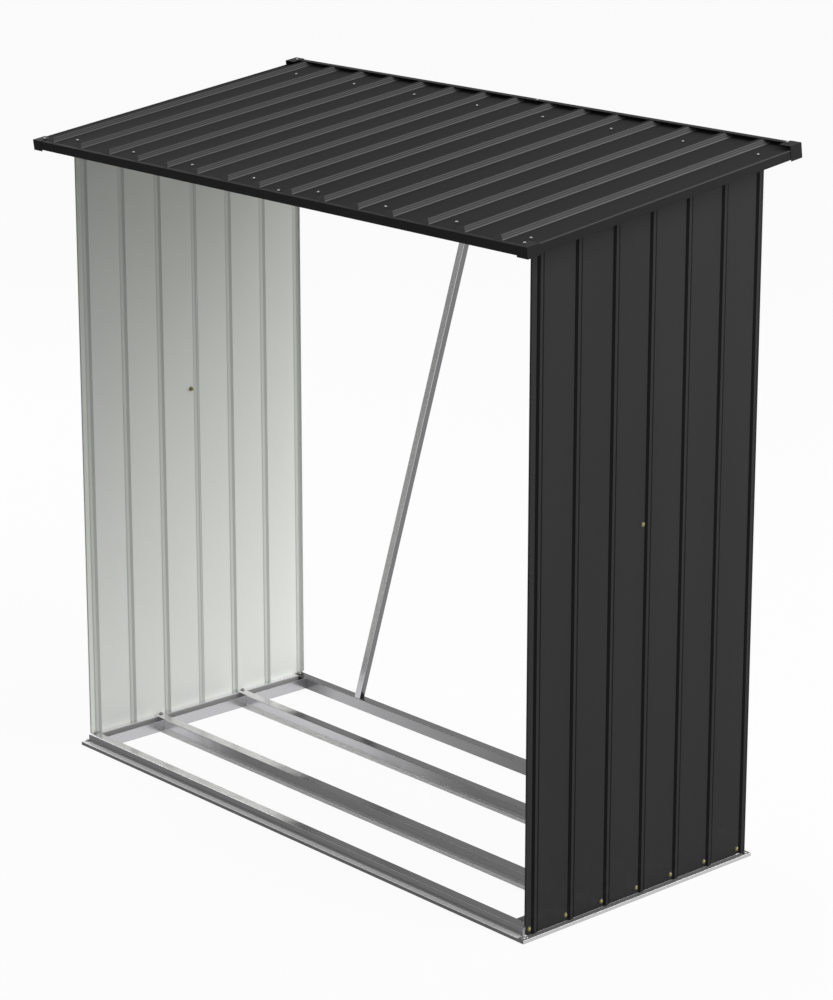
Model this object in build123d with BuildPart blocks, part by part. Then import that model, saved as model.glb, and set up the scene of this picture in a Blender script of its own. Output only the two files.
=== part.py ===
from build123d import *
import os
from math import atan2, cos, radians, sin, tan

# Open log store in folded sheet steel: a floor frame, two ribbed side walls, a pair of rear
# braces and a single-pitch ribbed roof.  Millimetres, +X to the right along the front,
# +Y from front to back, +Z up, origin on the floor under the middle of the outline.

# Overall
base_width = 1536.0
base_depth = 693.0
eave_height = 1475.0
roof_pitch = 7.55
side_overhang = 47.0
front_overhang = 54.0
rear_overhang = 43.0

# Sheet and fit
panel_sheet = 0.8
rail_sheet = 1.0
bend_radius = 2.0
lap_gap = 0.1
end_gap = 0.3

# Floor rails
rail_height = 28.0
rail_top = 24.0
side_rail_top = 17.0
side_rail_trough = 28.0
ledge_width = 13.0
ledge_height = 8.0

# Floor bearers
bearer_top = 26.0
bearer_lip = 12.0
bearer_spacing = 256.0
bearer_tab_gap = 3.0

# Ribbed sheet
rib_pitch = 105.2
wall_rib_base = 20.0
wall_rib_crest = 7.0
wall_rib_height = 3.0
roof_first_rib = 45.0
roof_last_rib = 95.0
roof_rib_base = 35.0
roof_rib_crest = 11.0
roof_rib_height = 8.5
roof_rib_end_run = 9.0

# Side walls
wall_front_inset = 18.0
wall_rear_inset = 8.0
wall_first_rib = 24.0
wall_return = 4.0

# Top rails under the roof
side_rail_leg = 30.0
side_rail_flange = 25.0
cross_rail_leg = 35.0
cross_rail_flange = 25.0
eave_setback = 40.0
eave_cross_leg = 25.0

# Rear braces
brace_face = 18.0
brace_return = 15.0
brace_setback = 36.0
brace_foot_inset = 242.0
brace_head_gap = 72.0
brace_head_drop = 4.0

# Roof edge
cap_sheet = 1.0
cap_width = 31.0
cap_depth = 34.0
cap_skirt = 2.5
fascia_drop = 19.0
eave_lap = 10.0
ridge_lap = 14.0
box_depth = 30.0
seat_width = 12.0
gable_lap = 6.0
gable_foot = 20.0
splice_length = 120.0

# Roof sheets
sheet_count = 7
ribs_per_sheet = 2
rib_start = 12.0

# Places worked out from the sizes
pitch = radians(roof_pitch)
roof_width = base_width + 2 * side_overhang
roof_depth = base_depth + front_overhang + rear_overhang
roof_top = panel_sheet + rail_sheet + cap_sheet
cap_drop = fascia_drop + cap_skirt
slope_length = (roof_depth - (roof_top + cap_drop) * sin(pitch)) / cos(pitch)
eave_y = -roof_depth / 2 + roof_top * sin(pitch)
eave_z = eave_height - roof_top * cos(pitch)
base_front = -roof_depth / 2 + front_overhang
base_rear = base_front + base_depth
base_middle = (base_front + base_rear) / 2
half_base = base_width / 2
wall_x = half_base - ledge_width
wall_front = base_front + wall_front_inset
wall_rear = base_rear - wall_rear_inset
roof_half = roof_width / 2
rail_x = roof_half - cap_sheet
sheet_half = rail_x - bend_radius
sheet_start = cap_sheet + bend_radius
sheet_end = slope_length - sheet_start

# Roof frame: local X along the eave, local Y up the slope, local Z out of the roof, zero on
# the underside of the flat of the sheets
roof = Plane(origin=(0, eave_y, eave_z), x_dir=(1, 0, 0), z_dir=(0, -sin(pitch), cos(pitch)))
wall = Plane(origin=(wall_x, 0, 0), x_dir=(0, 1, 0), z_dir=(1, 0, 0))

os.makedirs("parts", exist_ok=True)


def save(piece, name):
    """Label one finished piece and write it."""
    piece.part.label = name
    export_step(piece.part, "parts/" + name + ".step")


def across(plane, along):
    """Plane square to the local Y of a frame, with local X and Z of the frame as its axes."""
    return Plane(origin=plane.from_local_coords((0, along, 0)), x_dir=plane.x_dir, z_dir=-plane.y_dir)


def beside(plane, aside):
    """Plane square to the local X of a frame, with local Y and Z of the frame as its axes."""
    return Plane(origin=plane.from_local_coords((aside, 0, 0)), x_dir=plane.y_dir, z_dir=plane.x_dir)


def folded(plane, points):
    """Cross-section of a strip folded through the points, with its thickness laid to their left."""
    path = [Vector(point) for point in points]
    steps = [(end - start).normalized() for start, end in zip(path, path[1:])]
    lefts = [Vector(-step.Y, step.X) for step in steps]
    inner = [path[0] + lefts[0] * rail_sheet]
    path_radii = []
    inner_radii = []
    for corner, step, before, after in zip(path[1:], steps, lefts, lefts[1:]):
        inner.append(corner + (before + after) * rail_sheet / (1 + before.dot(after)))
        turns_left = step.dot(after) < 0
        path_radii.append(bend_radius if turns_left else bend_radius - rail_sheet)
        inner_radii.append(bend_radius - rail_sheet if turns_left else bend_radius)
    inner.append(path[-1] + lefts[-1] * rail_sheet)
    with BuildSketch(plane) as section:
        with BuildLine():
            near = FilletPolyline(*path, radius=path_radii)
            far = FilletPolyline(*inner, radius=inner_radii)
            Line(near @ 0, far @ 0)
            Line(near @ 1, far @ 1)
        make_face()
    return section.sketch


def roof_height(y):
    """Height of the underside of the roof sheets above a place on the floor."""
    return eave_z + (y - eave_y) * tan(pitch)


def rib_bars(plane, centres, base, run, height, level, start, end, end_run):
    """Bars with sloping flanks along local Y, and with sloping front ends where end_run is set."""
    with BuildPart() as bars:
        with BuildSketch(across(plane, start)):
            for centre in centres:
                with BuildLine():
                    Polyline(
                        (centre - base / 2, level),
                        (centre - base / 2 + run, level + height),
                        (centre + base / 2 - run, level + height),
                        (centre + base / 2, level),
                        close=True,
                    )
                make_face()
        extrude(amount=start - end)
        if end_run:
            with BuildSketch(beside(plane, centres[0] - base)):
                with BuildLine():
                    Polyline(
                        (start, level),
                        (start + end_run, level + height),
                        (end, level + height),
                        (end, level),
                        close=True,
                    )
                make_face()
            extrude(amount=centres[-1] - centres[0] + base * 2, mode=Mode.INTERSECT)
    return bars.part


def rib_shell(plane, centres, base, run, height, start, end, end_run):
    """Outside and hollow of pressed ribs that stand on a flat sheet."""
    flank = atan2(height, run)
    front = atan2(height, end_run) if end_run else 0
    outside = rib_bars(plane, centres, base, run, height, panel_sheet, start, end, end_run)
    hollow_base = base - 2 * panel_sheet * tan(flank / 2)
    hollow_start = start + panel_sheet * tan(front / 2)
    hollow = rib_bars(plane, centres, hollow_base, run, height, 0, hollow_start, end, end_run)
    return outside, hollow


def nested_shell(plane, centre, base, run, height, start, end, end_run):
    """The smaller rib at the edge of a sheet, which lies under the rib of the next sheet."""
    flank = atan2(height, run)
    inset = panel_sheet + lap_gap
    low = height - inset
    low_base = base - 2 * inset / sin(flank)
    low_run = low / tan(flank)
    if end_run:
        front = atan2(height, end_run)
        low_start = start + inset / sin(front)
        return rib_shell(plane, [centre], low_base, low_run, low, low_start, end, low / tan(front))
    return rib_shell(plane, [centre], low_base, low_run, low, start, end, 0)


def ribbed_sheet(plane, left, right, ribs, under, base, crest, height, start, end, rib_from, end_run):
    """One sheet with pressed ribs; the rib at the place called under lies below the next sheet."""
    run = (base - crest) / 2
    shells = [rib_shell(plane, ribs, base, run, height, rib_from, end, end_run)]
    if under is not None:
        shells.append(nested_shell(plane, under, base, run, height, rib_from, end, end_run))
    with BuildPart() as sheet:
        with BuildSketch(plane):
            with Locations(((left + right) / 2, (start + end) / 2)):
                Rectangle(right - left, end - start)
        extrude(amount=panel_sheet)
        for outside, hollow in shells:
            add(outside)
        for outside, hollow in shells:
            add(hollow, mode=Mode.SUBTRACT)
    return sheet


# Floor rails: a short lip, a ledge for the wall, an upright and a flat top, then on the front and
# rear rails a plain inner leg, and on the side rails a trough that the bearer tabs cross
rail_depth = ledge_width + rail_top
side_rail_flat = ledge_width + side_rail_top
side_rail_depth = side_rail_flat + side_rail_trough
outer_profile = [
    (ledge_width, rail_height),
    (ledge_width, ledge_height),
    (0, ledge_height),
    (0, 0),
]
rail_profile = [(rail_depth, 0), (rail_depth, rail_height)] + outer_profile
side_rail_profile = [
    (side_rail_depth, rail_height),
    (side_rail_depth, rail_sheet),
    (side_rail_flat, rail_sheet),
    (side_rail_flat, rail_height),
] + outer_profile


def floor_rail(profile, start, end, start_cut, end_cut):
    """One floor rail between two corners of the base, inside to its left, with its corners cut out."""
    along = (end - start).normalized()
    inward = Vector(0, 0, 1).cross(along)
    section = folded(Plane(origin=start, x_dir=inward, z_dir=along), profile)
    with BuildPart() as rail:
        extrude(section, amount=(end - start).length)
        for corner, step, outline in ((start, along, start_cut), (end, -along, end_cut)):
            with BuildSketch(Plane.XY):
                with BuildLine():
                    Polyline(*[corner + step * far + inward * deep for far, deep in outline], close=True)
                make_face()
            extrude(amount=rail_height, mode=Mode.SUBTRACT)
    return rail


# Corner cuts in plan, as distances along the rail and in from its outer edge: lips and ledges are
# mitred, the hats of the front and rear rails run to the walls, and the side rails stop against them
hat_end = ledge_width + end_gap
hat_cut = [(end_gap, 0), (hat_end, ledge_width), (hat_end, rail_depth), (0, rail_depth), (0, 0)]
side_end = rail_depth + end_gap
side_cut = [
    (end_gap, 0),
    (ledge_width, ledge_width - end_gap),
    (side_end, ledge_width - end_gap),
    (side_end, side_rail_depth + rail_sheet),
    (0, side_rail_depth + rail_sheet),
    (0, 0),
]
front_left = Vector(-half_base, base_front)
front_right = Vector(half_base, base_front)
rear_right = Vector(half_base, base_rear)
rear_left = Vector(-half_base, base_rear)
save(floor_rail(rail_profile, front_left, front_right, hat_cut, hat_cut), "front_floor_rail")
save(floor_rail(rail_profile, rear_right, rear_left, hat_cut, hat_cut), "rear_floor_rail")
save(floor_rail(side_rail_profile, front_right, rear_right, side_cut, side_cut), "right_floor_rail")
save(floor_rail(side_rail_profile, rear_left, front_left, side_cut, side_cut), "left_floor_rail")

# Floor bearers: hat sections between the side rails, with tabs that lap on their flat tops
bearer_height = rail_height + rail_sheet
bearer_half = half_base - side_rail_depth - rail_sheet - end_gap
tab_half = wall_x - bearer_tab_gap
bearer_profile = [
    (bearer_top / 2 + bearer_lip, rail_sheet),
    (bearer_top / 2, rail_sheet),
    (bearer_top / 2, bearer_height),
    (-bearer_top / 2, bearer_height),
    (-bearer_top / 2, rail_sheet),
    (-bearer_top / 2 - bearer_lip, rail_sheet),
]


def floor_bearer(y):
    """One bearer across the base at a place from front to back."""
    section_plane = Plane(origin=(-bearer_half, y, 0), x_dir=(0, 1, 0), z_dir=(1, 0, 0))
    with BuildPart() as bearer:
        extrude(folded(section_plane, bearer_profile), amount=2 * bearer_half)
        with BuildSketch(Plane.XY.offset(rail_height)):
            with Locations((0, y)):
                Rectangle(2 * tab_half, bearer_top - 2 * bend_radius)
        extrude(amount=rail_sheet)
    return bearer


save(floor_bearer(base_middle - bearer_spacing / 2), "front_floor_bearer")
save(floor_bearer(base_middle + bearer_spacing / 2), "rear_floor_bearer")

# Side walls: two ribbed sheets each, lapped at the middle rib, cut to the slope of the roof
wall_room = wall_rear - wall_front - wall_first_rib - wall_rib_base / 2
wall_rib_count = int(wall_room // rib_pitch) + 1
wall_ribs = [wall_front + wall_first_rib + rib_pitch * index for index in range(wall_rib_count)]
wall_lap_rib = wall_rib_count // 2
wall_lap = wall_ribs[wall_lap_rib]
wall_foot = ledge_height + bend_radius
wall_top = roof_height(wall_rear) + wall_rib_height
roof_cut = Plane(origin=roof.origin, z_dir=roof.z_dir)


def wall_sheet(left, right, ribs, under, fold):
    """One sheet of the right wall, with a narrow return folded inwards at its free edge."""
    sheet = ribbed_sheet(
        wall, left, right, ribs, under, wall_rib_base, wall_rib_crest, wall_rib_height,
        wall_foot, wall_top, wall_foot, 0,
    )
    with BuildPart() as cut:
        add(sheet.part)
        split(bisect_by=roof_cut, keep=Keep.BOTTOM)
        with BuildSketch(Plane.XY.offset(rail_height + bend_radius)):
            with Locations((wall_x + (panel_sheet - wall_return) / 2, fold)):
                Rectangle(wall_return + panel_sheet, panel_sheet)
        extrude(amount=roof_height(fold) - side_rail_leg - rail_height - 2 * bend_radius)
    return cut


def mirrored(piece):
    """The same piece for the other side."""
    with BuildPart() as other:
        mirror(piece.part, about=Plane.YZ)
    return other


front_fold = wall_front + panel_sheet / 2
rear_fold = wall_rear - panel_sheet / 2
right_wall_front_sheet = wall_sheet(wall_front, wall_lap, wall_ribs[:wall_lap_rib], wall_lap, front_fold)
right_wall_rear_sheet = wall_sheet(wall_lap, wall_rear, wall_ribs[wall_lap_rib:], None, rear_fold)
save(right_wall_front_sheet, "right_wall_front_sheet")
save(right_wall_rear_sheet, "right_wall_rear_sheet")
save(mirrored(right_wall_front_sheet), "left_wall_front_sheet")
save(mirrored(right_wall_rear_sheet), "left_wall_rear_sheet")

# Side top rails: angles along the tops of the walls, flat under the roof sheets
box_start = cap_sheet + box_depth
box_end = slope_length - box_start
with BuildPart() as right_top_rail:
    angle = [(wall_x, -side_rail_leg), (wall_x, 0), (wall_x - side_rail_flange, 0)]
    extrude(folded(across(roof, box_start), angle), amount=box_start - box_end)
save(right_top_rail, "right_top_rail")
save(mirrored(right_top_rail), "left_top_rail")

# Cross rails: angles from wall to wall under the side top rails, one at each opening
cross_half = wall_x - bend_radius
cross_level = rail_sheet / cos(pitch)
brace_y = base_rear - brace_setback
front_cross_y = eave_y + eave_setback


def cross_rail(y, flange, leg):
    """One cross rail with its upright leg at a place and its flange towards the inside."""
    foot = roof_height(y) - cross_level - leg
    points = [
        (y, foot),
        (y, roof_height(y) - cross_level),
        (y + flange, roof_height(y + flange) - cross_level),
    ]
    if flange > 0:
        points.reverse()
    plane = Plane(origin=(-cross_half, 0, 0), x_dir=(0, 1, 0), z_dir=(1, 0, 0))
    with BuildPart() as rail:
        extrude(folded(plane, points), amount=2 * cross_half)
    return rail


save(cross_rail(front_cross_y, cross_rail_flange, eave_cross_leg), "front_cross_rail")
save(cross_rail(brace_y, -cross_rail_flange, cross_rail_leg), "rear_cross_rail")

# Rear braces: angles from the rear floor rail to the middle of the rear cross rail
brace_top = roof_height(brace_y) - cross_level - bend_radius - brace_head_drop
brace_rise = brace_top - rail_height
brace_foot_x = wall_x - brace_foot_inset
brace_lean = atan2(brace_foot_x - brace_head_gap / 2, brace_rise)
brace_foot = (-brace_foot_x, brace_y, rail_height)
brace_axis = Vector(sin(brace_lean), 0, cos(brace_lean))
brace_plane = Plane(origin=brace_foot, x_dir=(cos(brace_lean), 0, -sin(brace_lean)), z_dir=brace_axis)
brace_spare = brace_face * 2
with BuildPart() as rear_left_brace:
    brace_points = [(-brace_face / 2, 0), (brace_face / 2, 0), (brace_face / 2, brace_return)]
    brace_section = folded(brace_plane.offset(-brace_spare), brace_points)
    extrude(brace_section, amount=brace_rise / cos(brace_lean) + 2 * brace_spare)
    split(bisect_by=Plane.XY.offset(rail_height), keep=Keep.TOP)
    split(bisect_by=Plane.XY.offset(brace_top), keep=Keep.BOTTOM)
save(rear_left_brace, "rear_left_brace")
save(mirrored(rear_left_brace), "rear_right_brace")

# Eave and ridge rails: boxed sections that hold the ends of the sheets, in two halves each
sheet_top = panel_sheet + rail_sheet
ridge_top = roof_rib_height + sheet_top
eave_profile = [
    (cap_sheet + eave_lap, sheet_top),
    (cap_sheet, sheet_top),
    (cap_sheet, -fascia_drop),
    (cap_sheet + box_depth, -fascia_drop),
    (cap_sheet + box_depth, 0),
    (cap_sheet + box_depth - seat_width, 0),
]
ridge_profile = [(slope_length - along, height) for along, height in eave_profile]
ridge_profile[0] = (slope_length - cap_sheet - ridge_lap, ridge_top)
ridge_profile[1] = (slope_length - cap_sheet, ridge_top)
ridge_profile.reverse()


def edge_rail(profile):
    """Right half of a boxed rail along the front or back of the roof."""
    with BuildPart() as rail:
        extrude(folded(beside(roof, end_gap), profile), amount=rail_x - end_gap)
    return rail


def edge_splice(profile):
    """Angle inside the joint of two half rails."""
    with BuildPart() as splice:
        extrude(folded(beside(roof, -splice_length / 2), profile), amount=splice_length)
    return splice


right_eave_rail = edge_rail(eave_profile)
right_ridge_rail = edge_rail(ridge_profile)
save(right_eave_rail, "right_eave_rail")
save(mirrored(right_eave_rail), "left_eave_rail")
save(right_ridge_rail, "right_ridge_rail")
save(mirrored(right_ridge_rail), "left_ridge_rail")
splice_corner = cap_sheet + rail_sheet
splice_foot = cap_sheet + box_depth - rail_sheet - bend_radius
splice_profile = [
    (splice_corner, -rail_sheet - bend_radius),
    (splice_corner, rail_sheet - fascia_drop),
    (splice_foot, rail_sheet - fascia_drop),
]
ridge_splice_profile = [(slope_length - along, height) for along, height in splice_profile]
ridge_splice_profile.reverse()
save(edge_splice(splice_profile), "eave_splice")
save(edge_splice(ridge_splice_profile), "ridge_splice")

# Gable rails: channels over the side edges of the roof, between the eave and ridge rails
gable_profile = [
    (rail_x - gable_foot, -fascia_drop),
    (rail_x, -fascia_drop),
    (rail_x, sheet_top),
    (rail_x - gable_lap, sheet_top),
]
with BuildPart() as right_gable_rail:
    extrude(folded(across(roof, box_start), gable_profile), amount=box_start - box_end)
save(right_gable_rail, "right_gable_rail")
save(mirrored(right_gable_rail), "left_gable_rail")


def corner_cap(start, end, front, top):
    """Folded cap over the meeting of two edge rails, open below and towards the roof."""
    with BuildPart() as cap:
        with BuildSketch(roof.offset(-cap_drop)):
            with Locations((roof_half - cap_width / 2, (start + end) / 2)):
                Rectangle(cap_width, end - start)
        extrude(amount=cap_drop + top + cap_sheet)
        with BuildSketch(roof.offset(-cap_drop)):
            with Locations((rail_x - cap_width / 2, (start + end) / 2 + front * cap_sheet)):
                Rectangle(cap_width, end - start)
        extrude(amount=cap_drop + top, mode=Mode.SUBTRACT)
    return cap


front_right_cap = corner_cap(0, cap_depth, 1, sheet_top)
rear_right_cap = corner_cap(slope_length - cap_depth, slope_length, -1, ridge_top)
save(front_right_cap, "front_right_roof_cap")
save(rear_right_cap, "rear_right_roof_cap")
save(mirrored(front_right_cap), "front_left_roof_cap")
save(mirrored(rear_right_cap), "rear_left_roof_cap")

# Roof sheets: each lies over a rib of the sheet to its left, with the ribs spread evenly
rib_gaps = sheet_count * ribs_per_sheet
roof_rib_spacing = (2 * sheet_half - roof_first_rib - roof_last_rib) / rib_gaps
roof_ribs = [roof_first_rib - sheet_half + roof_rib_spacing * index for index in range(rib_gaps + 1)]
for index in range(sheet_count):
    first = index * ribs_per_sheet
    last = first + ribs_per_sheet
    is_last = index == sheet_count - 1
    roof_sheet = ribbed_sheet(
        roof,
        roof_ribs[first] if index else -sheet_half,
        sheet_half if is_last else roof_ribs[last],
        roof_ribs[first:] if is_last else roof_ribs[first:last],
        None if is_last else roof_ribs[last],
        roof_rib_base, roof_rib_crest, roof_rib_height,
        sheet_start, sheet_end, rib_start, roof_rib_end_run,
    )
    save(roof_sheet, "roof_sheet_" + str(index + 1))
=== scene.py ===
"""Looks of an open log store: coated sheets, galvanised base, zinc bolts and a plain studio."""

import math

import bmesh
import bpy
from bpy.props import FloatProperty, FloatVectorProperty, IntProperty, PointerProperty
from mathutils import Matrix, Vector


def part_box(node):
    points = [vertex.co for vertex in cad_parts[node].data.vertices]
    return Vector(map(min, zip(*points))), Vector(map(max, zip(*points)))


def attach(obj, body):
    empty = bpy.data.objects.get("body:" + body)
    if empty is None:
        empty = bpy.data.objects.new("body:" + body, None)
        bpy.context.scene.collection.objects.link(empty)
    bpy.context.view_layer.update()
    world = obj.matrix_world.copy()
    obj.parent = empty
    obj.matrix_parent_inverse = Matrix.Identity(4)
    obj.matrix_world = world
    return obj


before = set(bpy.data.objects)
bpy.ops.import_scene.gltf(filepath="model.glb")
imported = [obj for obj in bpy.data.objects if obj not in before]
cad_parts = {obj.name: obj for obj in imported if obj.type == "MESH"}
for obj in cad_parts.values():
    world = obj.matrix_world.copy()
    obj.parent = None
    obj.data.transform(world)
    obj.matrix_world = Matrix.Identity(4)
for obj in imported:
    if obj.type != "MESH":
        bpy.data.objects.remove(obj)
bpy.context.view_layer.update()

bl_info = {
    "name": "Log store",
    "version": (1, 0, 0),
    "blender": (4, 5, 0),
    "location": "3D View > Sidebar > Log store",
    "description": "Dresses the packed log store with finishes, bolts and a studio",
    "category": "Object",
}

MM = 0.001
ROOF_PITCH = math.radians(7.55)
WHITE = (1, 1, 1, 1)

# Runs along X that lie wholly past one end of the store, for a tone that shows nowhere or everywhere
PAST_LEFT = (-3.0, -2.0)
PAST_RIGHT = (2.0, 3.0)

# Ribs that the coats follow: the first one's distance from the middle and the step to the next
WALL_RIB_OFFSET = 0.299
WALL_RIB_STEP = 0.1052
ROOF_RIB_OFFSET = 0.767
ROOF_RIB_STEP = 0.106

# Places and soft borders on a rib, measured from its start on the roof and from its middle on a wall
WALL_RIB_EDGE = (0.0065, 0.0085)
ROOF_FLANK_MIDDLE = 0.0113
ROOF_FLANK_FOOT = (0.0145, 0.0160)
CREASE_OFFSET = 0.0022
CREASE_SOFTNESS = (0.0003, 0.0011)

# Soft borders on the base: across from the middle, or up from the floor
LEDGE_TOP = (0.010, 0.014)
LIP_TOP = (0.0080, 0.0090)
RIGHT_LEDGE_START = (0.748, 0.752)
TROUGH_START = (0.7094, 0.7098)
TROUGH_END = (0.7415, 0.7425)
TROUGH_TOP = (0.0277, 0.0280)
FOOT_START = (0.750, 0.752)
FOOT_END = (0.758, 0.762)
FOOT_TOP = (0.0115, 0.0125)
STREAK_REACH = 0.12

# Height over which painted shade darkens the walls' lining upwards, and height up to which dust clings
LINING_HEIGHT = 1.5
DUST_HEIGHT = 0.16

# Slopes that count as the flank of a wall's rib: soft borders of the normal's share along Y
FLANK_START = (0.12, 0.35)
FLANK_END = (0.7, 0.9)

# Scales of the patterns, per metre, and depths of the bumps
CLOUD_SCALE = 5.0
WAVE_SCALE = 7.0
WAVE_DEPTH = 4.0 * MM
SPECK_SCALE = 420.0
PEEL_SCALE = 650.0
PEEL_DEPTH = 0.4 * MM
WALL_DUST_SCALE = 38.0
ROOF_DUST_SCALE = 60.0
TRIM_CLOUD_SCALE = 9.0
RUB_SCALE = 140.0
SPANGLE_SCALE = 260.0
STREAK_SCALE = 14.0
STREAK_DEPTH = 1.0 * MM
BLOTCH_SCALE = 260.0
PLATING_SCALE = 900.0
PLATING_DEPTH = 0.2 * MM
GRIME_SCALE = 300.0
GRIME_DEPTH = 0.3 * MM
FLOOR_CLOUD_SCALE = 0.8

# Patterns drawn out along a sheet: up a wall, or down the slope of the roof
WALL_SWEEP = (1.0, 1.0, 0.12)
ROOF_SWEEP = (1.0, 0.12, 1.0)

# Specular level of the coats
WALL_SHEEN = 0.02
ROOF_SHEEN = 0.003
TRIM_SHEEN = 0.006
RUBBER_SHEEN = 0.2

# Tints that are no setting of their own
DUST = (0.20, 0.19, 0.17)
RUBBED_PAINT = (0.12, 0.12, 0.12)
# Painted light and shade on the base's low steel: light tones on low faces and ledges, dark ones on the
# right ledge and in the troughs
LOW_FACE_PAINTED_LIGHT = (0.92, 0.92, 0.92)
LEDGE_PAINTED_LIGHT = (0.98, 0.98, 0.98)
RIGHT_LEDGE_PAINTED_SHADE = (0.20, 0.20, 0.20)
TROUGH_PAINTED_SHADE = (0.44, 0.44, 0.44)
RUBBER = (0.020, 0.020, 0.018)
GRIMY_RUBBER = (0.045, 0.043, 0.036)
SCREW_TINT_SHARE = 0.38
BASE_BOLT_TINT_SHARE = 0.4

# Steel of each kind of node: the finish's name, endings of the nodes' names and how the finish differs
# How each finish differs is mostly where its painted dark reflections run and how far its painted light and
# shade on low faces reach
STEEL_KINDS = (
    ("front_rail_steel", ("front_floor_rail",),
     {"dark_reflection_from": PAST_LEFT, "top_dark_reflection_from": (-0.10, 0.05), "painted_light_top": 15.0 * MM,
      "lip_share": 0.85, "leg_share": 2.2}),
    ("rear_rail_steel", ("rear_floor_rail",),
     {"dark_reflection_from": (-1.15, 0.32), "dark_reflection_until": (-0.80, -0.42), "top_dark_reflection_from": PAST_LEFT}),
    ("front_bearer_steel", ("front_floor_bearer",),
     {"dark_reflection_from": (-0.70, -0.40), "top_dark_reflection_from": (-0.33, -0.19), "painted_light_top": 10.0 * MM,
      "lip_share": 3.0, "leg_share": 3.0}),
    ("rear_bearer_steel", ("rear_floor_bearer",),
     {"dark_reflection_from": (-0.45, 0.15), "top_dark_reflection_from": (-0.62, -0.50), "painted_light_top": 10.0 * MM,
      "lip_share": 3.0, "leg_share": 3.0}),
    ("brace_steel", ("brace",), {"side_shade_share": 0.20}),
    ("side_rail_steel", ("left_floor_rail", "right_floor_rail"), {"trough_share": 1.0}),
    ("plain_steel", ("top_rail", "cross_rail"), {}),
)

# Material slots of a fastener
BODY_SLOT = 0
WASHER_SLOT = 1

# How far heads and threads sink into what they stand on
HEAD_SINK = 0.2 * MM
THREAD_SINK = 0.3 * MM

# Forms of the fasteners, mostly as shares of their sizes
WASHER_SOFT_SHARE = 0.3
NUT_SIDES = 6
NUT_TURN = 0.3
NUT_CHAMFER = 0.6 * MM
NUT_TOP_SHARE = 0.90
THREAD_DEPTH_SHARE = 0.45
THREAD_TIP_SHARE = 0.8
HEAD_TURNS = (0.0, 0.35, 0.70, 1.05)
SOCKET_WIDTH_SHARE = 0.42
SOCKET_FLOOR_SHARE = 0.60
SEAL_SHARE = 0.45
DOME_SHARE = 0.36

# Rings of a roof screw: share of the radius, then height
SEAL_RINGS = ((1.0, -HEAD_SINK), (1.0, 0.8 * MM), (0.7, 1.5 * MM))
DOME_RINGS = ((1.0, 1.2 * MM), (0.96, 2.2 * MM), (0.74, 3.2 * MM), (0.3, 3.7 * MM))

# Wall bolts: across from the middle, back from the base's front edge, and up from the floor
WALL_FACE = 0.7558
WALL_SHEET = 0.8 * MM
FOOT_BOLT_COUNT = 7
FOOT_BOLT_FIRST = 0.0265
FOOT_BOLT_HEIGHT = 0.0225
LAP_BOLT = (0.342, 0.829)

# Roof screws: places across and along the roof, with the rise over the roof's underside
SCREW_COUNT = 8
SCREW_FIRST = -0.710
SCREW_STEP = 0.2121
SCREW_ROWS = (-0.345, 0.304)
PAN_RISE = 0.8 * MM
CAP_SCREW_SIDE = 0.791
CAP_SCREWS = ((-0.378, 2.8 * MM), (0.374, 11.3 * MM))
SPLICE_SCREWS = ((0.050, -0.379, PAN_RISE), (0.045, 0.378, 10.3 * MM))

# Base bolts: across from the middle, then in from the base's edge or on from a bearer's middle
RAIL_SHEET = 1.0 * MM
LEDGE_HEIGHT = 8.0 * MM
CORNER_BOLT = (0.7466, 0.027)
LEDGE_BOLT = (0.7620, 0.014)
CORNER_STUD = (0.7612, 0.0065)
BEARER_TAB_BOLT = (0.7465, 0.006)
BEARER_SIDE_BOLT = (0.7240, -0.034)

# The floor's half width and how white it is to the eye; the rest of its tone keeps the shadow
FLOOR_REACH = 30.0
FLOOR_WHITE_SHARE = 0.94

# Lights: name, place, target, size and share of the key light's power
LIGHTS = (
    ("side_light", (4.2, 1.6, 3.8), (0, 0, 0.8), 3.0, 1.0),
    ("rear_light", (2.6, 4.6, 1.5), (-0.75, 0, 0.35), 2.4, 0.7),
    ("left_light", (-4.4, 0.4, 3.0), (0, 0, 0.7), 3.0, 0.55),
)


def tint_property(name, description, default):
    """A colour that a user may change."""
    return FloatVectorProperty(name=name, description=description, default=default, size=3,
                               min=0.0, max=1.0, subtype="COLOR")


def size_property(name, description, default):
    """A length that a user may change."""
    return FloatProperty(name=name, description=description, default=default, min=0.0,
                         precision=4, unit="LENGTH")


class LogStoreFinishes(bpy.types.PropertyGroup):
    """Colours of the coated sheets and the metals."""

    paint: tint_property("Paint", "Dark coat on the outside of walls and roof", (0.028, 0.028, 0.0285))
    lining: tint_property("Lining", "Pale coat on the inside of walls and roof", (0.76, 0.785, 0.74))
    steel: tint_property("Steel", "Bright galvanised steel", (0.895, 0.885, 0.91))
    # Dark steel tone used only for painted dark reflections on the steel and painted shade on the base's
    # lips, legs and rail foot
    reflection_and_shade_steel: tint_property("Dull steel", "Galvanised steel with a dull patina", (0.138, 0.138, 0.141))
    zinc: tint_property("Zinc", "Yellow passivated zinc on the bolts", (0.29, 0.27, 0.12))
    washer: tint_property("Washer", "Dull washers under the heads", (0.16, 0.155, 0.12))


class LogStoreBolts(bpy.types.PropertyGroup):
    """Sizes of the fasteners."""

    head_width: size_property("Head width", "Width of a bolt head or nut", 8.2 * MM)
    head_height: size_property("Head height", "Height of a bolt head or nut", 3.2 * MM)
    thread: size_property("Thread", "Outside diameter of the thread", 4.8 * MM)
    thread_step: size_property("Thread step", "Pitch of the thread", 0.9 * MM)
    stub: size_property("Stub", "Thread that stands out of a nut", 5.0 * MM)
    washer_width: size_property("Washer width", "Outside diameter of a washer", 11.0 * MM)
    washer_height: size_property("Washer height", "Thickness of a washer", 1.0 * MM)
    corner_stud: size_property("Corner stud", "Thread of the upright bolt in the front corner", 17.0 * MM)
    sides: IntProperty(name="Sides", description="Sides of a round piece", default=20, min=8, max=64)


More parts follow.
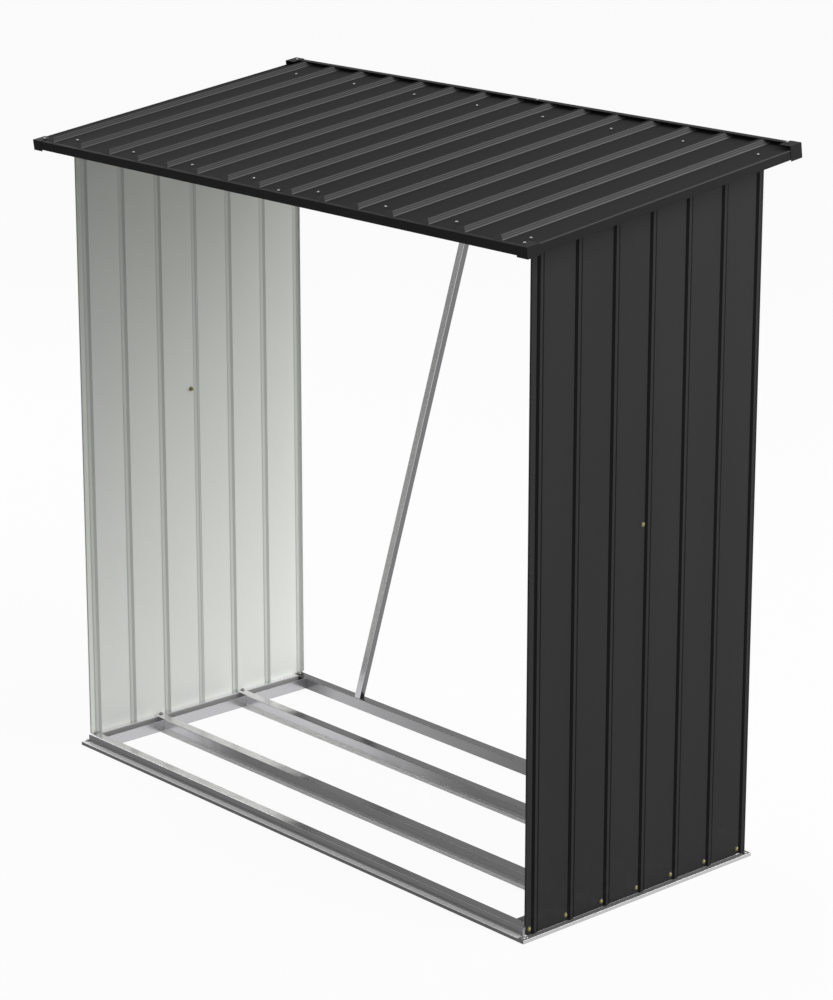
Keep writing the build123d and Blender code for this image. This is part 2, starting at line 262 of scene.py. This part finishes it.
class LogStoreStudio(bpy.types.PropertyGroup):
    """The camera and the light."""

    lens: FloatProperty(name="Lens", description="Focal length", default=111.593, unit="CAMERA")
    shift: FloatProperty(name="Shift", description="Vertical lens shift", default=-0.10)
    place: FloatVectorProperty(name="Place", description="Camera position", size=3,
                               default=(4.9931, -4.4341, 2.6861), subtype="TRANSLATION")
    yaw: FloatProperty(name="Yaw", description="Heading of the camera",
                       default=math.radians(48.051), subtype="ANGLE")
    tilt: FloatProperty(name="Tilt", description="Downward tilt of the camera",
                        default=math.radians(14.593), subtype="ANGLE")
    floor: tint_property("Floor", "Colour of the floor", (0.88, 0.88, 0.88))
    key: FloatProperty(name="Key", description="Power of the side light", default=130.0, unit="POWER")
    fill: FloatProperty(name="Fill", description="Strength of the even light", default=0.37)


class Sock:
    """One output of a shader node, with arithmetic that adds the nodes it needs."""

    def __init__(self, tree, socket):
        self.tree = tree
        self.socket = socket

    @staticmethod
    def node(tree, kind, settings=None, inputs=None, output=0):
        """A node of a kind, with its settings made first and then its sockets filled or linked."""
        made = tree.nodes.new(kind)
        for name, value in (settings or {}).items():
            setattr(made, name, value)
        for name, value in (inputs or {}).items():
            if isinstance(value, Sock):
                tree.links.new(value.socket, made.inputs[name])
            else:
                made.inputs[name].default_value = value
        return Sock(tree, made.outputs[output]) if len(made.outputs) else None

    def _join(self, operation, first, second=None):
        pair = [first] if second is None else [first, second]
        is_vector = any(isinstance(item, Sock) and item.socket.type == "VECTOR" for item in pair)
        kind = "ShaderNodeVectorMath" if is_vector else "ShaderNodeMath"
        values = {}
        for index, item in enumerate(pair):
            if is_vector and isinstance(item, (int, float)):
                item = (item, item, item)
            values[index] = item
        return Sock.node(self.tree, kind, {"operation": operation}, values)

    def __add__(self, other):
        return self._join("ADD", self, other)

    __radd__ = __add__

    def __mul__(self, other):
        return self._join("MULTIPLY", self, other)

    __rmul__ = __mul__

    def __sub__(self, other):
        return self._join("SUBTRACT", self, other)

    def __rsub__(self, other):
        return self._join("SUBTRACT", other, self)

    def __truediv__(self, other):
        return self._join("DIVIDE", self, other)

    def __rtruediv__(self, other):
        return self._join("DIVIDE", other, self)

    def of(self, operation, other=None):
        """A Math operation that has no sign of its own."""
        return self._join(operation, self, other)

    def part(self, axis):
        """One axis of a vector."""
        return Sock.node(self.tree, "ShaderNodeSeparateXYZ", None, {0: self}, "XYZ".index(axis))

    def step(self, start, end):
        """Rises smoothly from 0 at start to 1 at end."""
        return Sock.node(self.tree, "ShaderNodeMapRange", {"interpolation_type": "SMOOTHSTEP"},
                         {"Value": self, "From Min": start, "From Max": end})

    def below(self, border):
        """1 short of a soft border and 0 past it."""
        return 1 - self.step(*border)

    def between(self, first, last):
        """1 past one soft border and short of another."""
        return self.step(*first) * self.below(last)

    def tones(self, first, second):
        """A colour between two colours by this share."""
        return Sock.node(self.tree, "ShaderNodeMix", {"data_type": "RGBA"},
                         {0: self, 6: colour(first), 7: colour(second)}, 2)


def colour(value):
    """A colour socket as it is, or three numbers with full alpha."""
    if isinstance(value, Sock):
        return value
    return (value[0], value[1], value[2], 1.0)


def scaled(tint, share):
    """A colour made darker or lighter."""
    return tuple(min(1.0, channel * share) for channel in tint)


class Finish:
    """A material under construction: its node tree and the places that all finishes share."""

    def __init__(self, name):
        self.material = bpy.data.materials.new(name)
        self.material.use_nodes = True
        self.tree = self.material.node_tree
        self.tree.nodes.clear()
        self.place = self.node("ShaderNodeTexCoord", output="Object")
        self.facing = self.node("ShaderNodeNewGeometry", output="True Normal")

    def node(self, kind, settings=None, inputs=None, output=0):
        """A node in this finish."""
        return Sock.node(self.tree, kind, settings, inputs, output)

    def noise(self, scale, detail=3.0, stretch=(1.0, 1.0, 1.0)):
        """Noise at a scale per metre, stretched along the axes."""
        return self.node("ShaderNodeTexNoise", None,
                         {"Vector": self.place * stretch, "Scale": scale, "Detail": detail})

    def bump(self, height, strength, distance, below=None):
        """A bump on the surface, on top of another one."""
        values = {"Height": height, "Strength": strength, "Distance": distance}
        if below is not None:
            values["Normal"] = below
        return self.node("ShaderNodeBump", None, values)

    def close(self, **values):
        """The shader and the output; whole-surface values go straight on the shader's sockets."""
        inputs = {name.replace("_", " "): value for name, value in values.items()}
        shader = self.node("ShaderNodeBsdfPrincipled", None, inputs)
        self.node("ShaderNodeOutputMaterial", None, {"Surface": shader})
        return self.material


def orange_peel(finish):
    """The fine bumps that sprayed paint has."""
    return finish.bump(finish.noise(PEEL_SCALE, 1.0), 0.06, PEEL_DEPTH)


def cloudy_paint(cloud, finishes, share):
    """Dark paint whose tone drifts over the sheet."""
    return cloud.tones(scaled(finishes.paint, 0.86 * share), scaled(finishes.paint, 1.14 * share))


def cloudy_lining_painted_light(cloud, finishes):
    """Pale lining whose tone drifts over the sheet, lightened above its set tone as painted light."""
    return cloud.tones(scaled(finishes.lining, 1.26), scaled(finishes.lining, 1.32))


def close_coat(finish, base, cloud, sweep, sheen):
    """The end of a sheet's coat: satin gloss over orange peel and slow waves along the sheet."""
    gloss = 0.44 + cloud * 0.10 + finish.noise(SPECK_SCALE, 2.0) * 0.06
    waves = finish.noise(WAVE_SCALE, 2.0, sweep)
    normal = finish.bump(waves, 0.10, WAVE_DEPTH, orange_peel(finish))
    return finish.close(Base_Color=base, Roughness=gloss, Normal=normal, Specular_IOR_Level=sheen)


def wall_coat(name, finishes):
    """Coat of a wall sheet: dark paint outside, a pale lining inside, painted shade on the ribs, and
    painted shade darkening the lining upwards.
    """
    finish = Finish(name)
    across, along, height = (finish.place.part(axis) for axis in "XYZ")
    slope = finish.facing.part("Y")
    front_flank_shade = (0 - slope).between(FLANK_START, FLANK_END)
    rear_flank_shade = slope.between(FLANK_START, FLANK_END)
    edge = (slope * along.of("SIGN")).step(*FLANK_END)
    outside = (finish.facing.part("X") * across.of("SIGN")).step(0.02, 0.2)
    outside = outside.of("MAXIMUM", edge * across.step(-0.1, 0.1))
    cloud = finish.noise(CLOUD_SCALE, 4.0, WALL_SWEEP)

    paint = cloudy_paint(cloud, finishes, 1.25)
    # Painted shade on the ribs' flanks: those facing back darkest, those facing front a little less
    paint = front_flank_shade.tones(rear_flank_shade.tones(paint, scaled(finishes.paint, 0.20)), scaled(finishes.paint, 0.38))
    dust = height.below((0.0, DUST_HEIGHT)) * finish.noise(WALL_DUST_SCALE, 5.0).step(0.42, 0.75) * 0.04
    paint = dust.tones(paint, DUST)

    lining = cloudy_lining_painted_light(cloud, finishes)
    rib_share = ((along + WALL_RIB_OFFSET) / WALL_RIB_STEP + 0.5).of("FRACT")
    from_rib = (rib_share * WALL_RIB_STEP - WALL_RIB_STEP / 2).of("ABSOLUTE")
    # Painted shade on the lining: darker over each rib's hollow, on the flanks and on the left wall's edge
    # faces, and darkening upwards towards the roof
    lining = (from_rib.below(WALL_RIB_EDGE) * 0.55).tones(lining, scaled(finishes.lining, 0.80))
    lining = front_flank_shade.tones(rear_flank_shade.tones(lining, scaled(finishes.lining, 0.70)), scaled(finishes.lining, 0.90))
    lining = edge.tones(lining, scaled(finishes.lining, 0.7))
    lining = (height / LINING_HEIGHT * 0.9).tones(lining, scaled(finishes.lining, 0.30))
    return close_coat(finish, outside.tones(lining, paint), cloud, WALL_SWEEP, WALL_SHEEN)


def roof_coat(name, finishes):
    """Coat of a roof sheet: dark paint above with painted light on the rib flanks and rib ends and painted
    shade lines in each flank, lining below.
    """
    finish = Finish(name)
    outside = finish.facing.part("Z").step(0.02, 0.2)
    flank = finish.facing.part("X").step(0.25, 0.45)
    pressed_end = (0 - finish.facing.part("Y")).step(0.35, 0.55)
    from_rib = ((finish.place.part("X") + ROOF_RIB_OFFSET) / ROOF_RIB_STEP).of("FRACT") * ROOF_RIB_STEP
    from_crease = (from_rib - ROOF_FLANK_MIDDLE).of("ABSOLUTE") - CREASE_OFFSET
    crease_shade = from_crease.of("ABSOLUTE").below(CREASE_SOFTNESS)
    foot = from_rib.step(*ROOF_FLANK_FOOT)
    cloud = finish.noise(CLOUD_SCALE, 4.0, ROOF_SWEEP)

    # The roof takes the same paint lighter than the walls do, as painted light
    paint = cloudy_paint(cloud, finishes, 1.50)
    # Painted light on the rib flanks facing right, lighter still towards their foot
    paint = flank.tones(paint, foot.tones(scaled(finishes.paint, 4.4), scaled(finishes.paint, 6.4)))
    # Two painted shade lines along each lit flank, as if from a crease
    paint = (crease_shade * flank).tones(paint, scaled(finishes.paint, 2.2))
    # Painted light on the closed rib ends that face the front
    paint = pressed_end.tones(paint, scaled(finishes.paint, 3.2))
    dust = finish.noise(ROOF_DUST_SCALE, 6.0).step(0.60, 0.85) * 0.05
    paint = dust.tones(paint, DUST)
    base = outside.tones(cloudy_lining_painted_light(cloud, finishes), paint)
    return close_coat(finish, base, cloud, ROOF_SWEEP, ROOF_SHEEN)


def painted_trim(name, finishes):
    """Painted edge trim: the dark coat with painted light on its tops and sideways faces and a painted
    highlight on its bends, and a few rubbed spots.
    """
    finish = Finish(name)
    sideways, upward = finish.facing.part("X").of("ABSOLUTE"), finish.facing.part("Z")
    cloud = finish.noise(TRIM_CLOUD_SCALE, 4.0)
    base = cloud.tones(scaled(finishes.paint, 0.78), scaled(finishes.paint, 0.98))
    # Painted light on the sideways faces and on the tops, and a painted highlight on the bends between them
    base = sideways.step(0.8, 0.95).tones(base, scaled(finishes.paint, 0.90))
    base = upward.step(0.6, 0.9).tones(base, scaled(finishes.paint, 1.8))
    bend_highlight = sideways.step(0.25, 0.5) * upward.step(0.25, 0.5)
    base = bend_highlight.tones(base, scaled(finishes.paint, 4.0))
    rub = finish.noise(RUB_SCALE, 4.0).step(0.62, 0.80) * 0.10
    base = rub.tones(base, RUBBED_PAINT)
    return finish.close(Base_Color=base, Roughness=0.38 + cloud * 0.12, Normal=orange_peel(finish),
                        Specular_IOR_Level=TRIM_SHEEN)


def galvanised(name, finishes, dark_reflection_from=PAST_RIGHT, dark_reflection_until=PAST_LEFT, top_dark_reflection_from=PAST_RIGHT,
               painted_light_top=1.0 * MM, lip_share=1.4, leg_share=1.4, side_shade_share=0.60, trough_share=0.0):
    """Galvanised steel with a fine spangle, and painted light and shade: tones set by facing,
    painted dark reflections in runs along the store on faces to front and back and on tops, painted
    highlights on the bends, painted light and shade on low faces and ledges, and painted shade in the
    troughs and at the rails' foot."""
    finish = Finish(name)
    spangle = finish.node("ShaderNodeTexVoronoi", None,
                          {"Vector": finish.place, "Scale": SPANGLE_SCALE}, "Color")
    grain = spangle.part("X")
    streak = finish.noise(STREAK_SCALE)
    across, height = finish.place.part("X"), finish.place.part("Z")
    side = across.of("ABSOLUTE")
    level = finish.facing.part("Z").of("ABSOLUTE").step(0.5, 0.8)
    ahead = finish.facing.part("Y").of("ABSOLUTE").step(0.5, 0.8)

    # Painted light and shade by facing: tops take the full steel, faces to front and back less, and
    # sideways faces a set share of it
    steel_lit_by_facing = ahead.tones(scaled(finishes.steel, side_shade_share), scaled(finishes.steel, 0.60))
    steel_lit_by_facing = level.tones(steel_lit_by_facing, finishes.steel)
    steel_lit_by_facing = (grain * 0.08).tones(steel_lit_by_facing, scaled(finishes.steel, 0.4))
    # Painted dark reflections: in runs along the store, faces to front and back and tops take the dark
    # steel tone, the tops darker still
    dark_reflection_tone = grain.tones(scaled(finishes.reflection_and_shade_steel, 0.95), scaled(finishes.reflection_and_shade_steel, 1.04))
    dark_reflection_tone = level.tones(dark_reflection_tone, scaled(finishes.reflection_and_shade_steel, 0.52))
    run = across + (streak - 0.5) * STREAK_REACH
    darkened = ahead * run.step(*dark_reflection_from).of("MAXIMUM", run.below(dark_reflection_until))
    darkened = darkened.of("MAXIMUM", level * run.step(*top_dark_reflection_from))
    base = darkened.tones(steel_lit_by_facing, dark_reflection_tone)
    # A painted highlight along the bends between tops and faces
    bend_highlight = ahead * level
    base = bend_highlight.tones(base, scaled(finishes.steel, 0.60))

    # Painted light and shade on low faces: ledges and low faces to front and back go matte with set tones,
    # light outside the dark runs, dark inside them, dark on the right ledge and in the troughs
    trough = side.between(TROUGH_START, TROUGH_END) * height.below(TROUGH_TOP) * trough_share
    ledge = level * height.below(LEDGE_TOP)
    painted_light_mask = ledge.of("MAXIMUM", ahead * height.below((painted_light_top * 0.6, painted_light_top)))
    painted_light_mask = painted_light_mask.of("MAXIMUM", trough)
    lip, leg = scaled(finishes.reflection_and_shade_steel, lip_share), scaled(finishes.reflection_and_shade_steel, leg_share)
    painted_light_and_shade = darkened.tones(LOW_FACE_PAINTED_LIGHT, height.step(*LIP_TOP).tones(lip, leg))
    painted_light_and_shade = level.tones(painted_light_and_shade, across.step(*RIGHT_LEDGE_START).tones(LEDGE_PAINTED_LIGHT, RIGHT_LEDGE_PAINTED_SHADE))
    base = trough.tones(painted_light_mask.tones(base, painted_light_and_shade), TROUGH_PAINTED_SHADE)
    # Painted shade on the rails' outer face at the foot of the walls
    foot = side.between(FOOT_START, FOOT_END) * height.below(FOOT_TOP) * (1 - level)
    base = foot.tones(base, scaled(finishes.reflection_and_shade_steel, 0.8))

    gloss = 0.17 + grain * 0.03 + streak * 0.08 + painted_light_mask * 0.3
    normal = finish.bump(streak, 0.04, STREAK_DEPTH)
    return finish.close(Base_Color=base, Roughness=gloss, Normal=normal, Metallic=1 - painted_light_mask * 0.85)


def plated(name, tint):
    """Zinc plating on small fasteners, with a few dull blotches."""
    finish = Finish(name)
    blotch = finish.noise(BLOTCH_SCALE, 4.0)
    base = blotch.tones(scaled(tint, 0.72), scaled(tint, 1.12))
    gloss = 0.24 + blotch * 0.18
    normal = finish.bump(finish.noise(PLATING_SCALE, 2.0), 0.10, PLATING_DEPTH)
    return finish.close(Base_Color=base, Roughness=gloss, Normal=normal, Metallic=1.0)


def sealing_rubber(name):
    """Dull dark rubber under the roof screws."""
    finish = Finish(name)
    grime = finish.noise(GRIME_SCALE, 4.0)
    base = grime.tones(RUBBER, GRIMY_RUBBER)
    normal = finish.bump(grime, 0.15, GRIME_DEPTH)
    return finish.close(Base_Color=base, Roughness=0.55 + grime * 0.2, Normal=normal,
                        Specular_IOR_Level=RUBBER_SHEEN)


def dress(nodes, material):
    """Gives CAD nodes a finish."""
    for name in nodes:
        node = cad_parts[name]
        node.data.materials.clear()
        node.data.materials.append(material)


def nodes_with(*endings):
    """Names of the CAD nodes that end in one of these words."""
    return [name for name in sorted(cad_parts) if name.endswith(endings)]


class Mesh:
    """A piece under construction, with one material slot for each finish used."""

    def __init__(self):
        self.shape = bmesh.new()

    def lathe(self, place, rings, sides, slot, turn=0.0, is_smooth=True):
        """A closed turned form about the local Z: (radius, height) rings, capped at both ends."""
        loops = []
        for radius, height in rings:
            loop = []
            for step in range(sides):
                angle = 2 * math.pi * step / sides + turn
                point = Vector((radius * math.cos(angle), radius * math.sin(angle), height))
                loop.append(self.shape.verts.new(place @ point))
            loops.append(loop)
        faces = [self.shape.faces.new(list(reversed(loops[0]))), self.shape.faces.new(loops[-1])]
        for face in faces:
            face.material_index = slot
        for lower, upper in zip(loops, loops[1:]):
            for step in range(sides):
                after = (step + 1) % sides
                face = self.shape.faces.new((lower[step], lower[after], upper[after], upper[step]))
                face.material_index = slot
                face.smooth = is_smooth

    def finish(self, name, slot, materials):
        """The finished piece, riding on the store."""
        bmesh.ops.recalc_face_normals(self.shape, faces=self.shape.faces)
        data = bpy.data.meshes.new(name)
        self.shape.to_mesh(data)
        self.shape.free()
        for material in materials:
            data.materials.append(material)
        piece = bpy.data.objects.new(name, data)
        bpy.context.scene.collection.objects.link(piece)
        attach(piece, "root")


def standing(point, outward):
    """A local frame at a point with its Z along a direction."""
    turn = Vector((0, 0, 1)).rotation_difference(Vector(outward)).to_matrix().to_4x4()
    return Matrix.Translation(Vector(point)) @ turn


def washer(mesh, place, bolts, level=0.0):
    """A washer with rounded edges; gives back the height of its top."""
    radius = bolts.washer_width / 2
    top = level + bolts.washer_height
    soft = bolts.washer_height * WASHER_SOFT_SHARE
    rings = [(radius - soft, level), (radius, level + soft), (radius, top - soft), (radius - soft, top)]
    mesh.lathe(place, rings, bolts.sides, WASHER_SLOT)
    return top


def hexagon(mesh, place, bolts, level):
    """A hexagon nut with chamfered corners; gives back the height of its top."""
    corner = bolts.head_width / math.sqrt(3)
    top = level + bolts.head_height
    rings = [(corner, level), (corner, top - NUT_CHAMFER), (corner * NUT_TOP_SHARE, top)]
    mesh.lathe(place, rings, NUT_SIDES, BODY_SLOT, NUT_TURN, is_smooth=False)
    return top


def thread(mesh, place, bolts, start, end):
    """A threaded end: ridges at the pitch of the thread and a chamfered tip."""
    crest = bolts.thread / 2
    root = crest - bolts.thread_step * THREAD_DEPTH_SHARE
    rings = [(root, start)]
    level = start
    while level + bolts.thread_step < end:
        rings.append((crest, level + bolts.thread_step / 2))
        rings.append((root, level + bolts.thread_step))
        level += bolts.thread_step
    rings.append((root * THREAD_TIP_SHARE, end))
    mesh.lathe(place, rings, bolts.sides, BODY_SLOT)


def domed_head(mesh, place, bolts, level):
    """A round head with a shallow socket in its crown."""
    radius = bolts.head_width / 2
    rings = [(radius, level - HEAD_SINK)]
    for turn in HEAD_TURNS:
        rings.append((radius * math.cos(turn), level + bolts.head_height * math.sin(turn)))
    rings.append((radius * SOCKET_WIDTH_SHARE, level + bolts.head_height * SOCKET_FLOOR_SHARE))
    mesh.lathe(place, rings, bolts.sides, BODY_SLOT)


def headed_bolt(mesh, point, outward, bolts):
    """A round bolt head on its washer."""
    place = standing(point, outward)
    domed_head(mesh, place, bolts, washer(mesh, place, bolts))


def nutted_end(mesh, point, outward, bolts, length=None):
    """The other end of a bolt: washer, nut and a threaded end."""
    place = standing(point, outward)
    top = hexagon(mesh, place, bolts, washer(mesh, place, bolts))
    thread(mesh, place, bolts, top - THREAD_SINK, top + (length or bolts.stub))


def roof_screw(mesh, point, outward, bolts):
    """A small domed roofing screw on a dark sealing washer."""
    place = standing(point, outward)
    seal, dome = bolts.washer_width * SEAL_SHARE, bolts.head_width * DOME_SHARE
    for radius, outline, slot in ((seal, SEAL_RINGS, WASHER_SLOT), (dome, DOME_RINGS, BODY_SLOT)):
        rings = [(radius * share, height) for share, height in outline]
        mesh.lathe(place, rings, bolts.sides, slot)


def middle(name, axis):
    """The middle of a CAD node along one axis."""
    low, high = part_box(name)
    return (low[axis] + high[axis]) / 2


class LOGSTORE_OT_walls(bpy.types.Operator):
    """Coat the wall sheets dark outside and pale inside"""

    bl_idname = "logstore.walls"
    bl_label = "Walls"

    def execute(self, context):
        """Assigns the coat."""
        dress(nodes_with("wall_front_sheet", "wall_rear_sheet"),
              wall_coat("wall_coat", context.scene.log_store_finishes))
        return {"FINISHED"}


class LOGSTORE_OT_roof(bpy.types.Operator):
    """Coat the roof sheets and paint the trim round them"""

    bl_idname = "logstore.roof"
    bl_label = "Roof"

    def execute(self, context):
        """Assigns the coats."""
        finishes = context.scene.log_store_finishes
        sheets = [name for name in sorted(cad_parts) if name.startswith("roof_sheet")]
        dress(sheets, roof_coat("roof_coat", finishes))
        dress(nodes_with("eave_rail", "ridge_rail", "gable_rail", "splice", "roof_cap"),
              painted_trim("trim_paint", finishes))
        return {"FINISHED"}


class LOGSTORE_OT_steelwork(bpy.types.Operator):
    """Galvanise the base, the rails under the roof and the braces"""

    bl_idname = "logstore.steelwork"
    bl_label = "Steelwork"

    def execute(self, context):
        """Assigns the galvanised finishes."""
        finishes = context.scene.log_store_finishes
        for name, endings, differences in STEEL_KINDS:
            dress(nodes_with(*endings), galvanised(name, finishes, **differences))
        return {"FINISHED"}


class LOGSTORE_OT_wall_bolts(bpy.types.Operator):
    """Bolt the walls to the base and each wall's two sheets together"""

    bl_idname = "logstore.wall_bolts"
    bl_label = "Wall bolts"

    def execute(self, context):
        """Adds heads outside, and a nut inside at each lap."""
        bolts = context.scene.log_store_bolts
        finishes = context.scene.log_store_finishes
        materials = [plated("wall_bolt_zinc", finishes.zinc), plated("wall_washer_zinc", finishes.washer)]
        base_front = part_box("front_floor_rail")[0].y
        foot = [(base_front + FOOT_BOLT_FIRST + WALL_RIB_STEP * step, FOOT_BOLT_HEIGHT)
                for step in range(FOOT_BOLT_COUNT)]
        lap_y, lap_z = base_front + LAP_BOLT[0], LAP_BOLT[1]
        for side, sign in (("left", -1), ("right", 1)):
            mesh = Mesh()
            for y, z in foot + [(lap_y, lap_z)]:
                headed_bolt(mesh, (sign * WALL_FACE, y, z), (sign, 0, 0), bolts)
            nutted_end(mesh, (sign * (WALL_FACE - WALL_SHEET), lap_y, lap_z), (-sign, 0, 0), bolts)
            mesh.finish(side + "_wall_bolts", "galvanised_steel", materials)
        return {"FINISHED"}


class LOGSTORE_OT_roof_screws(bpy.types.Operator):
    """Screw the roof sheets and the trim down"""

    bl_idname = "logstore.roof_screws"
    bl_label = "Roof screws"

    def execute(self, context):
        """Adds two rows of screws, one on each corner cap and one on each splice."""
        bolts = context.scene.log_store_bolts
        finishes = context.scene.log_store_finishes
        materials = [plated("roof_screw_zinc", scaled(finishes.steel, SCREW_TINT_SHARE)),
                     sealing_rubber("screw_seal")]
        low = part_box("roof_sheet_1")[0]
        outward = Vector((0, -math.sin(ROOF_PITCH), math.cos(ROOF_PITCH)))
        places = [(SCREW_FIRST + SCREW_STEP * index, y, PAN_RISE)
                  for index in range(SCREW_COUNT) for y in SCREW_ROWS]
        places += [(sign * CAP_SCREW_SIDE, y, rise) for sign in (-1, 1) for y, rise in CAP_SCREWS]
        places += SPLICE_SCREWS
        mesh = Mesh()
        for x, y, rise in places:
            z = low.z + (y - low.y) * math.tan(ROOF_PITCH) + rise / math.cos(ROOF_PITCH)
            roof_screw(mesh, (x, y, z), outward, bolts)
        mesh.finish("roof_screws", "galvanised_steel", materials)
        return {"FINISHED"}


class LOGSTORE_OT_base_bolts(bpy.types.Operator):
    """Bolt the bearers and the corners of the base together"""

    bl_idname = "logstore.base_bolts"
    bl_label = "Base bolts"

    def execute(self, context):
        """Adds round heads on the corners and the bearer ends, and one threaded bolt at a corner."""
        bolts = context.scene.log_store_bolts
        finishes = context.scene.log_store_finishes
        materials = [plated("base_bolt_zinc", scaled(finishes.steel, BASE_BOLT_TINT_SHARE)),
                     plated("base_washer_zinc", finishes.washer)]
        front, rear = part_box("front_floor_rail")[0].y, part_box("rear_floor_rail")[1].y
        rail_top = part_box("front_floor_rail")[1].z
        upright = []
        for (x, inset), z in ((CORNER_BOLT, rail_top), (LEDGE_BOLT, LEDGE_HEIGHT)):
            upright += [(x, front + inset, z), (x, rear - inset, z)]
        for bearer in ("front_floor_bearer", "rear_floor_bearer"):
            for (x, shift), z in ((BEARER_TAB_BOLT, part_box(bearer)[1].z), (BEARER_SIDE_BOLT, RAIL_SHEET)):
                upright.append((x, middle(bearer, 1) + shift, z))
        mesh = Mesh()
        for x, y, z in upright:
            for sign in (-1, 1):
                headed_bolt(mesh, (sign * x, y, z), (0, 0, 1), bolts)
        x, inset = CORNER_STUD
        nutted_end(mesh, (x, front + inset, LEDGE_HEIGHT), (0, 0, 1), bolts, bolts.corner_stud)
        mesh.finish("base_bolts", "galvanised_steel", materials)
        return {"FINISHED"}


class LOGSTORE_OT_stage(bpy.types.Operator):
    """Set up the floor, the soft light and the camera"""

    bl_idname = "logstore.stage"
    bl_label = "Studio"

    def execute(self, context):
        """Makes the stage."""
        studio = context.scene.log_store_studio
        self.add_floor(context, studio)
        self.add_world(context, studio)
        for name, place, target, size, share in LIGHTS:
            self.add_light(context, name, place, target, size, studio.key * share)
        self.add_camera(context, studio)
        context.scene.view_settings.view_transform = "Standard"
        return {"FINISHED"}

    def add_floor(self, context, studio):
        """A wide pale floor that stays white to the eye and keeps the shadow."""
        data = bpy.data.meshes.new("studio_floor")
        shape = bmesh.new()
        bmesh.ops.create_grid(shape, x_segments=8, y_segments=8, size=FLOOR_REACH)
        shape.to_mesh(data)
        shape.free()
        floor = bpy.data.objects.new("studio_floor", data)
        context.scene.collection.objects.link(floor)
        finish = Finish("studio_floor")
        cloud = finish.noise(FLOOR_CLOUD_SCALE, 2.0)
        tone = cloud.tones(scaled(studio.floor, 0.99), studio.floor)
        matte = finish.node("ShaderNodeBsdfDiffuse", None, {"Color": tone})
        white = finish.node("ShaderNodeEmission", None, {"Color": WHITE, "Strength": 1.0})
        glow = self.seen(finish.tree) * FLOOR_WHITE_SHARE
        both = finish.node("ShaderNodeMixShader", None, {0: glow, 1: matte, 2: white})
        finish.node("ShaderNodeOutputMaterial", None, {"Surface": both})
        data.materials.append(finish.material)

    def seen(self, tree):
        """1 for rays from the eye and for mirrored or refracted ones."""
        ray = Sock.node(tree, "ShaderNodeLightPath", None, None, "Is Camera Ray")
        glossy = Sock.node(tree, "ShaderNodeLightPath", None, None, "Is Glossy Ray")
        through = Sock.node(tree, "ShaderNodeLightPath", None, None, "Is Transmission Ray")
        return ray.of("MAXIMUM", glossy).of("MAXIMUM", through)

    def add_world(self, context, studio):
        """An even world that shows white behind the store."""
        world = bpy.data.worlds.new("studio_world")
        context.scene.world = world
        world.use_nodes = True
        tree = world.node_tree
        tree.nodes.clear()
        strength = self.seen(tree) * (1.0 - studio.fill) + studio.fill
        back = Sock.node(tree, "ShaderNodeBackground", None, {"Color": WHITE, "Strength": strength})
        Sock.node(tree, "ShaderNodeOutputWorld", None, {"Surface": back})

    def add_light(self, context, name, place, target, size, power):
        """A square soft light aimed at a point."""
        data = bpy.data.lights.new(name, "AREA")
        data.shape = "SQUARE"
        data.size = size
        data.energy = power
        light = bpy.data.objects.new(name, data)
        light.location = place
        aim = Vector(target) - Vector(place)
        light.rotation_euler = aim.to_track_quat("-Z", "Y").to_euler()
        context.scene.collection.objects.link(light)

    def add_camera(self, context, studio):
        """The camera at the photograph's viewing angle."""
        data = bpy.data.cameras.new("studio_camera")
        data.lens = studio.lens
        data.shift_y = studio.shift
        camera = bpy.data.objects.new("studio_camera", data)
        camera.location = studio.place
        camera.rotation_euler = (math.pi / 2 - studio.tilt, 0, studio.yaw)
        context.scene.collection.objects.link(camera)
        context.scene.camera = camera


OPERATORS = (
    LOGSTORE_OT_walls,
    LOGSTORE_OT_roof,
    LOGSTORE_OT_steelwork,
    LOGSTORE_OT_wall_bolts,
    LOGSTORE_OT_roof_screws,
    LOGSTORE_OT_base_bolts,
    LOGSTORE_OT_stage,
)


class LOGSTORE_PT_panel(bpy.types.Panel):
    """Lists the steps that dress the log store"""

    bl_idname = "LOGSTORE_PT_panel"
    bl_label = "Log store"
    bl_space_type = "VIEW_3D"
    bl_region_type = "UI"
    bl_category = "Log store"

    def draw(self, context):
        """One button for each step."""
        for operator in OPERATORS:
            self.layout.operator(operator.bl_idname)


GROUPS = (
    ("log_store_finishes", LogStoreFinishes),
    ("log_store_bolts", LogStoreBolts),
    ("log_store_studio", LogStoreStudio),
)


def register():
    """Adds the settings, the steps and the panel."""
    for name, group in GROUPS:
        bpy.utils.register_class(group)
        setattr(bpy.types.Scene, name, PointerProperty(type=group))
    for operator in OPERATORS:
        bpy.utils.register_class(operator)
    bpy.utils.register_class(LOGSTORE_PT_panel)


def unregister():
    """Takes them away again."""
    bpy.utils.unregister_class(LOGSTORE_PT_panel)
    for operator in reversed(OPERATORS):
        bpy.utils.unregister_class(operator)
    for name, group in reversed(GROUPS):
        delattr(bpy.types.Scene, name)
        bpy.utils.unregister_class(group)


def main():
    """Dresses the store step by step."""
    register()
    bpy.ops.logstore.walls()
    bpy.ops.logstore.roof()
    bpy.ops.logstore.steelwork()
    bpy.ops.logstore.wall_bolts()
    bpy.ops.logstore.roof_screws()
    bpy.ops.logstore.base_bolts()
    bpy.ops.logstore.stage()


if __name__ == "__main__":
    main()
